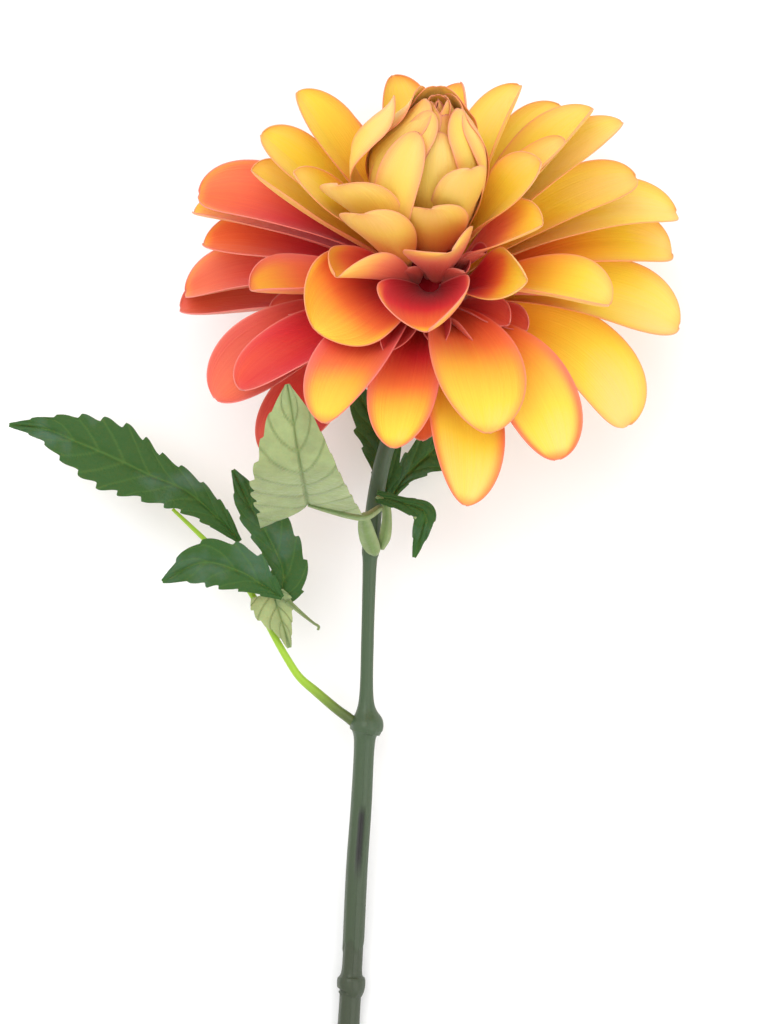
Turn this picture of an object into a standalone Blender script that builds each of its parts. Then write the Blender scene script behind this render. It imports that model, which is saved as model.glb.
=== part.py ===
"""A dahlia with its stem and leaves, laid down on a table.

The flower lies with its stem along Y and its face turned up (+Z) and along +Y.
Every petal is one closed solid set around the bloom's axis, which leans back from the table.
The lowest petals behind the bloom and the cut end of the stem rest on the plane z = 0.
Lengths in the tables are millimetres and angles are degrees; the model itself is in metres.
"""

import math

import bmesh
import bpy
import numpy as np
from mathutils import Matrix, Vector

MM = 0.001

# Where the flower lies: this moves its outline's middle onto the origin.
LAY_DOWN = (13.8, 37.8, 0.0)

# The bloom: the point on its axis where the petals start, and the axis's direction.
BLOOM_BASE = (14.7, 67.8, 47.0)
BLOOM_RISE = 40.0
BLOOM_LEAN = 1.5

# Petals.
PETAL_THICK = 0.6
PETAL_ROWS = 7
PETAL_COLUMNS = 5
CLAW_WIDTH = 0.26
WIDEST_AT = 0.66
TIP_BLUNT = 0.52
CLAW_CUP = 75.0
CURL_POWER = 1.4

# Each ring of petals: its name, its colour, and for each petal
# around: the way it faces about the axis, from 0 at the top of the lying flower, towards +X at 90
# rise, out: where its claw starts, along the axis and away from it
# pitch, curl: its angle from the axis at the claw, and how much more at the tip
# long, wide: its size along the midrib and across the widest place
# cup, lean: how far its sides rise, and how much more the side towards a larger angle does
# roll, sweep: its twist about the midrib, and its turn sideways, from claw to tip
RINGS = [
    ("skirt", [
        # around, rise, out, pitch, curl, long, wide, cup, lean, roll, sweep, colour
        (12, -1, 13, 82, 42, 77, 25, 30, 0.1, -20, -14, "gold"),
        (33, 0, 13, 72, 60, 71, 28, 30, -0.1, 4, -10, "gold"),
        (68, -3, 13, 76, 80, 68, 31, 25, 0.0, 12, -14, "gold"),
        (89, 0, 13, 74, 50, 70, 31, 30, 0.0, 12, -4, "gold"),
        (124, 0, 13, 92, 0, 67, 28, 30, 0.0, 0, 0, "gold"),
        (155, 0, 13, 90, -20, 62.6, 27, 40, 0.0, 0, 0, "amber"),
        (188, 0, 13, 86, -20, 61.8, 28, 30, 0.0, 0, 0, "amber"),
        (222, 0, 13, 98, -15, 67.6, 28, 30, 0.0, 0, 0, "coral"),
        (268, 0, 13, 92, 11, 68, 30, 55, 0.0, -2, -1, "coral"),
        (301, 0, 13, 79, 44, 69, 30, 40, 0.0, -12, 4, "coral"),
        (316, -6, 13, 98, 38, 61, 31, 36, -0.2, -3, 2, "red"),
        (357, -2, 13, 95, 24, 44, 17, 40, 0.0, 0, 0, "coral"),
    ]),
    ("lower", [
        (16, 5, 13, 72, 46, 63, 31, 40, 0.0, -6, -9, "amber"),
        (351, 4, 13, 80, 34, 64, 24, 45, 0.0, 0, 0, "red"),
        (332, 7, 13, 78, 40, 63, 27, 46, 0.0, 14, 5, "red"),
        (310, 4, 13, 82, 26, 65, 25, 40, 0.0, 4, -1, "red"),
        (265, 4, 13, 80, 41, 68, 28, 46, 0.1, -4, 0, "coral"),
        (260, 6, 13, 74, 26, 62, 27, 50, 0.0, -2, 0, "coral"),
        (256, 8, 13, 63, 40, 68, 27, 45, 0.0, 4, 2, "coral"),
        (257, 10, 13, 54, 48, 68, 28, 47, 0.0, -20, 2, "coral"),
        (104, 3, 13, 61, 60, 71, 28, 40, 0.0, 18, -2, "gold"),
        (110, 7, 13, 60, 54, 75, 28, 40, -0.1, 8, -2, "gold"),
    ]),
    ("middle", [
        (317, 9, 12, 57, 54, 44, 37, 56, -0.2, -38, 0, "amber"),
        (357, 12, 12, 60, 26, 38, 36, 66, 0.4, 6, 0, "red"),
        (40, 10, 12, 52, 0, 40, 23, 75, 0.0, 48, 0, "amber"),
        (60, 7, 13, 54, 44, 54, 29, 50, -0.2, 0, 0, "gold"),
        (292, 7, 12, 74, 4, 51, 28, 60, 0.0, 10, 0, "coral"),
        (112, 8, 12, 54, 34, 64, 24, 40, 0.0, 8, -1, "gold"),
        (117, 13, 12, 44, 28, 67, 24, 34, -0.2, -12, -2, "gold"),
        (318, 14, 12, 54, 8, 38, 30, 90, 0.4, -30, 0, "coral"),
        (14, 16, 11, 32, 14, 34, 26, 60, -0.1, 24, 0, "amber"),
    ]),
    ("upper", [
        (71, 17, 11, 45, 8, 40, 26, 55, 0.3, 6, 0, "coral"),
        (105, 19, 10, 34, 16, 49, 19, 34, -0.1, -8, -2, "gold"),
        (277, 18, 11, 46, -4, 48, 17, 54, -0.2, -20, 0, "gold"),
        (263, 12, 10, 56, 0, 58, 25, 50, 0.2, 0, 0, "gold"),
        (256, 14, 10, 46, 8, 61, 23, 35, -0.1, -8, 0, "gold"),
        (243, 18, 10, 40, 4, 60, 23, 50, 0.1, -3, -3, "gold"),
        (227, 12, 10, 45, 8, 58, 18, 40, -0.2, -14, -5, "gold"),
        (202, 13, 10, 25, 5, 57, 24, 58, 0.2, 8, 0, "gold"),
        (170, 10, 10, 38, 10, 57, 24, 60, -0.1, -40, 0, "coral"),
        (140, 16, 10, 18, 40, 57, 24, 50, -0.2, -28, 0, "gold"),
        (138, 10, 12, 52, 6, 61, 25, 40, 0.0, 3, 0, "gold"),
        (120, 14, 11, 41, 18, 63, 25, 52, 0.0, -16, 0, "gold"),
    ]),
    ("inner", [
        (283, 20, 11, 32, -10, 42, 27, 65, -0.2, -16, 0, "gold"),
        (314, 17, 12, 44, -18, 40, 26, 65, 0.3, -18, 0, "gold"),
        (350, 21, 10, 18, 4, 36, 28, 40, -0.1, 10, 0, "gold"),
        (52, 25, 9, 22, -22, 40, 27, 62, 0.1, -8, 0, "gold"),
        (70, 23, 10, 38, 4, 44, 21, 50, -0.1, 34, 0, "gold"),
    ]),
]

# Turned pieces on the bloom's axis, as (height along it, radius).
RECEPTACLE = [(-8, 5.5), (-7, 8.4), (-4, 10.9), (2, 11.4), (7, 10.4), (9.5, 7.7), (19, 7.6), (23, 6.6), (25, 6.2)]
BUD = [(25.4, 6.0), (30, 7.4), (36, 9.2), (42, 11.4), (50, 13.2), (58, 13.0), (65, 10.8), (71, 7.0), (75, 2.4)]
TURNED_STEPS = 20

# The stem: points along its middle from the receptacle to the cut end, with its radius at each.
STEM_PATH = [
    (14.5, 61.4, 41.6, 3.0), (14.4, 58.4, 39.1, 2.9), (13.2, 52, 35, 2.8), (9, 40, 30, 2.8),
    (3.6, 28, 27.6, 2.7), (0, 18, 26, 2.7), (-3, 3, 23, 2.7), (-4.3, -12, 21.2, 2.9), (-4.7, -18, 20.6, 2.3),
    (-5.4, -42, 18, 2.1), (-5.8, -62, 16, 2.5), (-5.6, -69, 15.4, 5.4), (-6.0, -72, 15.1, 5.2),
    (-6.4, -76, 14.7, 3.5), (-7.5, -97, 12.2, 3.5), (-9, -119, 9.7, 3.6), (-10.2, -145, 7, 3.6),
    (-10.7, -153, 6.2, 3.8), (-10.8, -155, 6.1, 4.9), (-10.9, -158, 6, 4.9), (-11.1, -160, 5.8, 3.9),
    (-12, -176, 4.9, 4.0), (-12.6, -195, 4.3, 4.1), (-13, -214, 4.1, 4.1),
]

# The stalk of the left leaf, from the stem's joint to the last leaflet.
STALK_PATH = [
    (-12, -67.5, 15.6, 1.7), (-16, -64.5, 16.2, 1.7), (-22.4, -59, 17, 1.6), (-27.6, -54.4, 18, 1.4),
    (-31.5, -48.6, 19, 1.3), (-35.8, -41, 20, 1.2), (-40, -32.8, 20.6, 1.2), (-44.6, -24.9, 21, 1.1),
    (-50.4, -17.4, 21.4, 1.0), (-57.6, -10.1, 21.7, 0.9), (-69.3, 1, 22, 0.7),
]

# Leaf blades: points along the midrib, each with the width to its left and to its right,
# then the direction that the blade faces and how far its sides fold up (degrees).
LEAF_THICK = 0.8
LEAF_COLUMNS = 5
LEAVES = [
    ("leaflet_end", "leaf_green", (0.1, 0.1, 1.0), 8, [
        (-47.2, -9.6, 25, 0.8, 0.8), (-55.2, -1, 26, 4.5, 4.5), (-64.9, 7.2, 28, 8, 6),
        (-76.2, 12.1, 29, 9.5, 8.5), (-87.7, 17.6, 29, 12, 12), (-100.9, 23.2, 27, 8.5, 9.5),
        (-110.9, 27.2, 24, 4.5, 4.5), (-123, 28.6, 20, 0.5, 0.5),
    ]),
    ("leaflet_side", "leaf_green", (0.2, -0.2, 1.0), 8, [
        (-41.2, -29.3, 23.2, 0.6, 0.6), (-34, -27.5, 25, 1.6, 2), (-33, -18.9, 28, 4, 7),
        (-37.1, -9.1, 31, 5, 9), (-43.5, 2.3, 33, 5, 7), (-49.1, 13.7, 32, 0.5, 0.5),
    ]),
    ("leaflet_front", "leaf_green", (0.0, -0.1, 1.0), 10, [
        (-33.2, -27.8, 29.5, 0.8, 0.8), (-39.8, -23.5, 33, 4, 6), (-46.8, -19.2, 35, 7, 9),
        (-58.8, -16.3, 36, 8, 7.5), (-71.9, -22.5, 34, 0.5, 0.5),
    ]),
    ("leaflet_low", "leaf_pale", (0.1, -0.2, 1.0), 6, [
        (-34.6, -30.5, 25, 5.5, 4.5), (-33.4, -34.5, 25, 4, 3.5), (-32.2, -39, 24, 2.4, 2.4),
        (-31, -44.4, 23, 0.8, 0.8),
    ]),
    ("leaf_pale", "leaf_pale", (0.0, -0.75, 0.65), 6, [
        (-24.3, 2.3, 50, 16.5, 17), (-25.5, 11.8, 76, 17, 12.5), (-27, 21, 86, 12.5, 9.5),
        (-28.3, 30.2, 90, 8, 6), (-29.8, 39.4, 92, 0.6, 0.6),
    ]),
    ("leaf_small", "leaf_grey", (0.1, -0.1, 1.0), 6, [
        (-2.3, 5.2, 31, 2, 2), (6.8, 2.9, 35, 2, 3), (13, 0, 36, 3.6, 4),
        (12.4, -6, 34, 2.6, 3.4), (9.8, -14.7, 30, 0.5, 0.5),
    ]),
    ("leaf_back_left", "leaf_green", (0.0, -0.1, 1.0), 6, [
        (0.6, 6.4, 17.5, 1.2, 1.2), (0.4, 12.5, 19, 4.2, 5.3), (-1.3, 20.4, 19, 5.6, 7.2),
        (-3, 28.6, 19, 7.3, 5.7), (-7.2, 36.8, 19, 4.5, 4), (-11, 45, 19, 0.5, 0.5),
    ]),
    ("leaf_back_right", "leaf_green", (0.0, -0.1, 1.0), 6, [
        (2.6, 5, 14.5, 1, 1), (6.9, 11.5, 14.8, 4, 2.8), (11.8, 16.5, 15, 6, 5.5),
        (17.1, 21.5, 15, 6.4, 8.5), (22, 28, 15, 5, 6), (28, 38, 15, 0.5, 0.5),
    ]),
]

# Colours are linear RGB.
COLOURS = {
    "gold": (0.90, 0.62, 0.05), "amber": (0.85, 0.30, 0.04), "red": (0.62, 0.03, 0.03),
    "coral": (0.80, 0.13, 0.11), "leaf_green": (0.05, 0.14, 0.05), "leaf_pale": (0.38, 0.48, 0.22),
    "leaf_grey": (0.11, 0.18, 0.11), "stem": (0.07, 0.12, 0.06), "stalk": (0.38, 0.60, 0.03),
}


def clear_scene():
    """Remove the objects of the scene that Blender starts with."""
    for thing in list(bpy.data.objects):
        bpy.data.objects.remove(thing, do_unlink=True)


def material_for(name, colour, roughness=0.55):
    """A plain Principled material of one piece."""
    material = bpy.data.materials.new(name)
    material.use_nodes = True
    shader = material.node_tree.nodes["Principled BSDF"]
    shader.inputs["Base Color"].default_value = (*COLOURS[colour], 1.0)
    shader.inputs["Roughness"].default_value = roughness
    shader.inputs["Metallic"].default_value = 0.0
    return material


def add_object(name, data, colour, parent):
    """Link an object with its own material, held by its parent."""
    thing = bpy.data.objects.new(name, data)
    data.materials.append(material_for(name, colour))
    bpy.context.scene.collection.objects.link(thing)
    thing.parent = parent
    return thing


def add_empty(name, parent=None):
    """An axis that holds pieces."""
    holder = bpy.data.objects.new(name, None)
    bpy.context.scene.collection.objects.link(holder)
    holder.parent = parent
    return holder


def running_sum(values, places):
    """The integral of values over places, from the first place (trapezium rule)."""
    steps = (values[1:] + values[:-1]) / 2 * np.diff(places).reshape((-1,) + (1,) * (values.ndim - 1))
    return np.concatenate([np.zeros_like(values[:1]), np.cumsum(steps, axis=0)])


def petal_outline(s):
    """Half width along the petal, as a share of the widest: a narrow claw, then a blunt oval."""
    rise = CLAW_WIDTH + (1 - CLAW_WIDTH) * np.sin(np.pi / 2 * np.clip(s / WIDEST_AT, 0, 1)) ** 1.15
    fall = (1 - np.clip((s - WIDEST_AT) / (1 - WIDEST_AT), 0, 1) ** 2.3) ** TIP_BLUNT
    return np.where(s < WIDEST_AT, rise, fall)


def cross_arc(cup, lean, columns):
    """Points across a cupped petal: the arc whose slope at t is cup * (t + lean * t * t), 0 at t = 0."""
    fine = np.linspace(-1, 1, 121)
    slope = cup * (fine + lean * fine ** 2)
    middle = len(fine) // 2
    across = running_sum(np.cos(slope), fine)
    up = running_sum(np.sin(slope), fine)
    t = np.linspace(-1, 1, columns)
    return np.interp(t, fine, across - across[middle]), np.interp(t, fine, up - up[middle])


def petal_points(pitch, curl, long, wide, cup, lean, roll, sweep):
    """Rows of points over a petal, in metres, with X away from the bloom's axis and Z along it.

    The midrib starts at the pitch angle from Z and curls outwards as share ** CURL_POWER.
    """
    fine = np.linspace(0, 1, 60)
    tilt = np.radians(pitch + curl * fine ** CURL_POWER)
    turn = np.radians(sweep) * fine ** 1.3
    out = np.stack([np.sin(tilt), np.zeros(60), np.cos(tilt)], axis=1)
    up = np.stack([-np.cos(tilt), np.zeros(60), np.sin(tilt)], axis=1)
    sideways = np.array([0.0, 1.0, 0.0])
    along = np.cos(turn)[:, None] * out + np.sin(turn)[:, None] * sideways
    across = -np.sin(turn)[:, None] * out + np.cos(turn)[:, None] * sideways
    midrib = running_sum(along * long * MM, fine)

    share = 0.995 * (1 - (1 - np.linspace(0, 1, PETAL_ROWS)) ** 1.35)
    half = wide / 2 * MM * petal_outline(share)
    rows = []
    for s, reach in zip(share, half):
        middle, side, normal = (np.array([np.interp(s, fine, line[:, k]) for k in range(3)])
                                for line in (midrib, across, up))
        twist = math.radians(roll) * s
        rolled_side = math.cos(twist) * side + math.sin(twist) * normal
        rolled_up = math.cos(twist) * normal - math.sin(twist) * side
        rise = math.radians(cup + (CLAW_CUP - cup) * (1 - s) ** 3)
        x, y = cross_arc(rise, lean, PETAL_COLUMNS)
        rows.append(middle + reach * (x[:, None] * rolled_side + y[:, None] * rolled_up))
    return rows


def sheet_object(name, rows, thick, colour, parent):
    """A closed solid from rows of points: a grid of faces thickened by Solidify."""
    columns = len(rows[0])
    points = [tuple(point) for row in rows for point in row]
    faces = []
    for i in range(len(rows) - 1):
        for j in range(columns - 1):
            corner = i * columns + j
            faces.append((corner, corner + columns, corner + columns + 1, corner + 1))
    mesh = bpy.data.meshes.new(name)
    mesh.from_pydata(points, [], faces)
    mesh.shade_smooth()
    thing = add_object(name, mesh, colour, parent)
    solid = thing.modifiers.new("thickness", "SOLIDIFY")
    solid.thickness = thick * MM
    solid.offset = 0.0
    return thing


def add_petals(bloom):
    """The petals, ring by ring, each turned about the bloom's axis to the way that it faces."""
    for ring, petals in RINGS:
        for number, row in enumerate(petals, start=1):
            around, rise, out, *shape, colour = row
            name = f"petal_{ring}_{number:02d}"
            petal = sheet_object(name, petal_points(*shape), PETAL_THICK, colour, bloom)
            turn = math.radians(around)
            petal.location = (out * MM * math.cos(turn), out * MM * math.sin(turn), rise * MM)
            petal.rotation_euler = (0.0, 0.0, turn)


def add_turned(name, profile, colour, parent):
    """A solid of revolution about Z from a profile of (height, radius), closed at both ends."""
    mesh = bpy.data.meshes.new(name)
    shape = bmesh.new()
    outline = [(profile[0][0], 0.0), *profile, (profile[-1][0], 0.0)]
    corners = [shape.verts.new((radius * MM, 0.0, height * MM)) for height, radius in outline]
    edges = [shape.edges.new(pair) for pair in zip(corners, corners[1:])]
    bmesh.ops.spin(shape, geom=corners + edges, axis=(0, 0, 1), cent=(0, 0, 0),
                   angle=2 * math.pi, steps=TURNED_STEPS, use_merge=True)
    bmesh.ops.remove_doubles(shape, verts=shape.verts, dist=0.00001)
    bmesh.ops.recalc_face_normals(shape, faces=shape.faces)
    shape.to_mesh(mesh)
    shape.free()
    mesh.shade_smooth()
    return add_object(name, mesh, colour, parent)


def smooth_path(points, between):
    """Catmull-Rom curve through the points, with extra ones between each pair."""
    padded = [2 * points[0] - points[1], *points, 2 * points[-1] - points[-2]]
    path = []
    for before, start, end, after in zip(padded, padded[1:], padded[2:], padded[3:]):
        for step in range(between):
            t = step / between
            path.append(0.5 * (2 * start + (end - before) * t + (2 * before - 5 * start + 4 * end - after) * t ** 2
                               + (3 * start - before - 3 * end + after) * t ** 3))
    path.append(points[-1])
    return path


def add_stalk(name, stations, between, colour, parent):
    """A round stalk that follows its path, with its own radius at each point and closed ends."""
    curve = bpy.data.curves.new(name, "CURVE")
    curve.dimensions = "3D"
    curve.bevel_depth = MM
    curve.bevel_resolution = 2
    curve.use_fill_caps = True
    curve.render_resolution_u = 0
    path = smooth_path([np.array(station, dtype=float) for station in stations], between)
    spline = curve.splines.new("POLY")
    spline.points.add(len(path) - 1)
    for point, (x, y, z, radius) in zip(spline.points, path):
        point.co = (x * MM, y * MM, z * MM, 1.0)
        point.radius = radius
    return add_object(name, curve, colour, parent)


def add_leaf(name, colour, facing, fold, stations, parent):
    """A leaf blade: a midrib with a width to each side, turned to face one way and folded along it."""
    path = smooth_path([np.array(station, dtype=float) for station in stations], 2)
    spine = np.array([point[:3] for point in path])
    along = np.gradient(spine, axis=0)
    along /= np.linalg.norm(along, axis=1, keepdims=True)
    right = np.cross(along, np.array(facing))
    right /= np.linalg.norm(right, axis=1, keepdims=True)
    up = np.cross(right, along)
    rows = []
    for point, middle, side, normal in zip(path, spine, right, up):
        row = []
        for t in np.linspace(-1, 1, LEAF_COLUMNS):
            reach = abs(t) * max(point[3] if t < 0 else point[4], 0.4)
            out = np.sign(t) * reach * math.cos(math.radians(fold)) * side
            row.append((middle + out + reach * math.sin(math.radians(fold)) * normal) * MM)
        rows.append(row)
    return sheet_object(name, rows, LEAF_THICK, colour, parent)


def bloom_axes():
    """The bloom's own axes as a rotation: Z along the axis and X towards the top of the lying flower."""
    rise, lean = math.radians(BLOOM_RISE), math.radians(BLOOM_LEAN)
    axis = Vector((math.sin(lean), math.cos(lean) * math.cos(rise), math.cos(lean) * math.sin(rise)))
    face = Vector((0.0, -math.sin(rise), math.cos(rise)))
    face = (face - axis * face.dot(axis)).normalized()
    return Matrix((face, axis.cross(face), axis)).transposed()


def main():
    """Build the whole flower."""
    clear_scene()
    flower = add_empty("flower")
    flower.location = Vector(LAY_DOWN) * MM
    bloom = add_empty("bloom", flower)
    bloom.location = Vector(BLOOM_BASE) * MM
    bloom.rotation_euler = bloom_axes().to_euler()
    add_petals(bloom)
    add_turned("receptacle", RECEPTACLE, "stem", bloom)
    add_turned("bud", BUD, "gold", bloom)
    add_stalk("stem", STEM_PATH, 2, "stem", flower)
    add_stalk("stalk_left", STALK_PATH, 2, "stalk", flower)
    for name, colour, facing, fold, stations in LEAVES:
        add_leaf(name, colour, facing, fold, stations, flower)


main()
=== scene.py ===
"""A dahlia laid down on a table: cloth petals round a bud, a jointed stem and its leaves.

Shapes are surfaces worked out with numpy over two parameters, s along a piece and t across it.
Lengths in the lists are millimetres and angles are degrees.
"""

import math

import bpy
import numpy as np
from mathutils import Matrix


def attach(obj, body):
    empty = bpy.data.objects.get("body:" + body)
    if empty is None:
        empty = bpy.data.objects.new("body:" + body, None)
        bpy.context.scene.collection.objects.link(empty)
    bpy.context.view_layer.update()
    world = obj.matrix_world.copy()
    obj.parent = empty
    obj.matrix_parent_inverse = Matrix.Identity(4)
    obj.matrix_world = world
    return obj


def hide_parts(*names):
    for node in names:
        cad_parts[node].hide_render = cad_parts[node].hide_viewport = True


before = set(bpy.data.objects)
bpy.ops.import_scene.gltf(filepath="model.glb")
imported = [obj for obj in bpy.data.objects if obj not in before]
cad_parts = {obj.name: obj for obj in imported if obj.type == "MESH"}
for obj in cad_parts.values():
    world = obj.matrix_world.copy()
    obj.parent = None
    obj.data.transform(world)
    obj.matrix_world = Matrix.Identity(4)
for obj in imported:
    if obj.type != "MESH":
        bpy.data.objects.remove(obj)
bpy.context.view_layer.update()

bl_info = {
    "name": "Dahlia",
    "version": (1, 0, 0),
    "blender": (4, 5, 0),
    "location": "3D View > Sidebar > Dahlia",
    "description": "Builds a cut dahlia with its stem and leaves, lying on a table",
    "category": "Add Mesh",
}

MM = 0.001

# Rings of petals. For each petal:
# around: the way it faces about the bloom's axis, from 0 at the top of the lying flower, towards +X at 90
# rise, out: where its claw starts, along the axis and away from it
# pitch, curl: its angle from the axis at the claw, and how much more at the tip
# long, wide: its size along the midrib and across the widest place
# cup, lean: how far its sides rise, and how much more the side towards a larger angle does
# roll, sweep: its twist about the midrib, and its turn sideways, from claw to tip
# claw, tip: its warmth of colour at both ends, from 0, dark red, to 1, pale yellow
# blush, margin: how far the colour goes to pink, and how much further along the edge, or if minus, to yellow
RINGS = {
    "skirt": [
        # around, rise, out, pitch, curl, long, wide, cup, lean, roll, sweep, claw, tip, blush, margin
        (12, -1, 13, 82, 42, 77, 25, 30, 0.1, -20, -14, 0.50, 0.97, 0.12, 0.7),
        (33, 0, 13, 72, 60, 71, 28, 30, -0.1, 4, -10, 0.40, 0.93, 0.08, 0.9),
        (68, -3, 13, 76, 80, 68, 31, 25, 0.0, 12, -14, 0.55, 0.98, 0.0, 0.25),
        (89, 0, 13, 74, 50, 70, 31, 30, 0.0, 12, -4, 0.60, 0.98, 0.0, 0.25),
        (124, 0, 13, 92, 0, 67, 28, 30, 0.0, 0, 0, 0.55, 0.95, 0.1, 0.25),
        (155, 0, 13, 90, -20, 62.6, 27, 40, 0.0, 0, 0, 0.40, 0.90, 0.15, 0.25),
        (188, 0, 13, 86, -20, 61.8, 28, 30, 0.0, 0, 0, 0.30, 0.80, 0.2, 0.25),
        (222, 0, 13, 98, -15, 67.6, 28, 30, 0.0, 0, 0, 0.15, 0.50, 0.5, 0.25),
        (268, 0, 13, 92, 11, 68, 30, 55, 0.0, -2, -1, 0.15, 0.32, 0.5, 0.3),
        (301, 0, 13, 79, 44, 69, 30, 40, 0.0, -12, 4, 0.20, 0.35, 0.6, 0.2),
        (311, -6, 13, 98, 38, 61, 27, 36, -0.2, -3, 2, 0.08, 0.24, 0.4, 0.2),
        (357, -2, 13, 95, 24, 44, 17, 40, 0.0, 0, 0, 0.20, 0.40, 0.7, 0.25),
    ],
    "lower": [
        (16, 5, 13, 72, 46, 63, 31, 40, 0.0, -6, -9, 0.34, 0.92, 0.1, 0.45),
        (351, 4, 13, 80, 34, 64, 24, 45, 0.0, 0, 0, 0.12, 0.86, 0.15, 0.6),
        (332, 7, 13, 78, 40, 63, 27, 46, 0.0, 14, 5, 0.1, 0.8, 0.2, 0.6),
        (310, 4, 13, 82, 26, 65, 25, 40, 0.0, 4, -1, 0.12, 0.24, 0.15, 0.3),
        (265, 4, 13, 80, 41, 68, 28, 46, 0.1, -4, 0, 0.12, 0.42, 0.5, -0.3),
        (260, 6, 13, 74, 26, 62, 27, 50, 0.0, -2, 0, 0.15, 0.42, 0.2, -0.35),
        (256, 8, 13, 63, 40, 68, 27, 45, 0.0, 4, 2, 0.12, 0.55, 0.2, -0.5),
        (257, 10, 13, 54, 48, 68, 28, 47, 0.0, -20, 2, 0.1, 0.42, 0.3, -0.3),
        (104, 3, 13, 61, 60, 71, 28, 40, 0.0, 18, -2, 0.40, 0.95, 0.0, 0.25),
        (110, 7, 13, 60, 54, 75, 28, 40, -0.1, 8, -2, 0.60, 0.95, 0.0, 0.25),
    ],
    "middle": [
        (317, 9, 12, 57, 54, 44, 37, 48, -0.2, -38, 0, 0.18, 0.7, 0.12, -0.45),
        (357, 12, 12, 60, 26, 41, 36, 66, 0.2, 6, 0, 0.0, 0.4, 0.1, -0.6),
        (42, 10, 12, 52, 6, 38, 25, 75, 0.0, 54, 0, 0.12, 0.90, 0.1, -0.8),
        (60, 7, 13, 54, 44, 54, 27, 50, -0.2, 0, 0, 0.50, 0.95, 0.1, 0.25),
        (292, 7, 12, 74, 4, 51, 28, 60, 0.0, 10, 0, 0.25, 0.7, 0.45, 0.6),
        (112, 8, 12, 54, 34, 64, 24, 40, 0.0, 8, -1, 0.65, 0.96, 0.0, 0.25),
        (117, 13, 12, 44, 28, 67, 24, 34, -0.2, -12, -2, 0.65, 0.96, 0.0, 0.25),
        (317, 14, 12, 58, 6, 37, 28, 90, 0.0, 22, 0, 0.15, 0.72, 0.4, -0.5),
        (8, 16, 12, 32, 14, 34, 28, 60, 0.0, 24, 0, 0.20, 0.70, 0.35, -0.7),
    ],
    "upper": [
        (60, 18, 11, 38, 20, 38, 24, 55, 0.3, 14, 0, 0.3, 0.9, 0.5, -0.6),
        (105, 19, 10, 34, 16, 49, 19, 34, -0.1, -8, -2, 0.70, 0.97, 0.0, 0.3),
        (277, 18, 11, 46, -4, 48, 17, 54, -0.2, -20, 0, 0.55, 0.93, 0.0, 0.25),
        (263, 12, 10, 56, 0, 58, 25, 50, 0.2, 0, 0, 0.55, 0.92, 0.05, 0.25),
        (256, 14, 10, 46, 8, 61, 23, 35, -0.1, -8, 0, 0.60, 0.92, 0.0, 0.25),
        (243, 18, 10, 40, 4, 60, 23, 50, 0.1, -3, -3, 0.60, 0.88, 0.05, 0.25),
        (227, 12, 10, 45, 8, 58, 18, 40, -0.2, -14, -5, 0.65, 0.93, 0.0, 0.5),
        (202, 13, 10, 25, 5, 57, 24, 58, 0.2, 8, 0, 0.72, 0.94, 0.0, 0.5),
        (170, 10, 10, 38, 10, 57, 24, 60, -0.1, -40, 0, 0.60, 0.85, 0.25, 0.5),
        (140, 16, 10, 18, 40, 57, 24, 50, -0.2, -28, 0, 0.70, 0.93, 0.0, 0.25),
        (138, 10, 12, 52, 6, 61, 25, 40, 0.0, 3, 0, 0.70, 0.94, 0.0, 0.25),
        (120, 14, 11, 41, 18, 63, 25, 52, 0.0, -16, 0, 0.68, 0.94, 0.0, 0.25),
    ],
    "inner": [
        (302, 22, 14, 30, 2, 41, 28, 30, -0.2, 46, 0, 0.60, 0.93, 0.0, 0.25),
        (319, 18, 15, 30, 0, 39, 25, 40, 0.3, 32, 0, 0.60, 0.94, 0.0, 0.25),
        (355, 21, 10, 22, 0, 33, 25.5, 40, -0.1, 6, 0, 0.55, 0.92, 0.0, 0.25),
        (30, 26, 10, 18, -6, 39, 20.5, 50, 0.1, -10, 0, 0.65, 0.94, 0.0, 0.25),
        (84, 23, 10, 32, 4, 41, 21, 50, -0.1, 34, 0, 0.70, 0.96, 0.0, 0.25),
    ],
}

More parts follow.
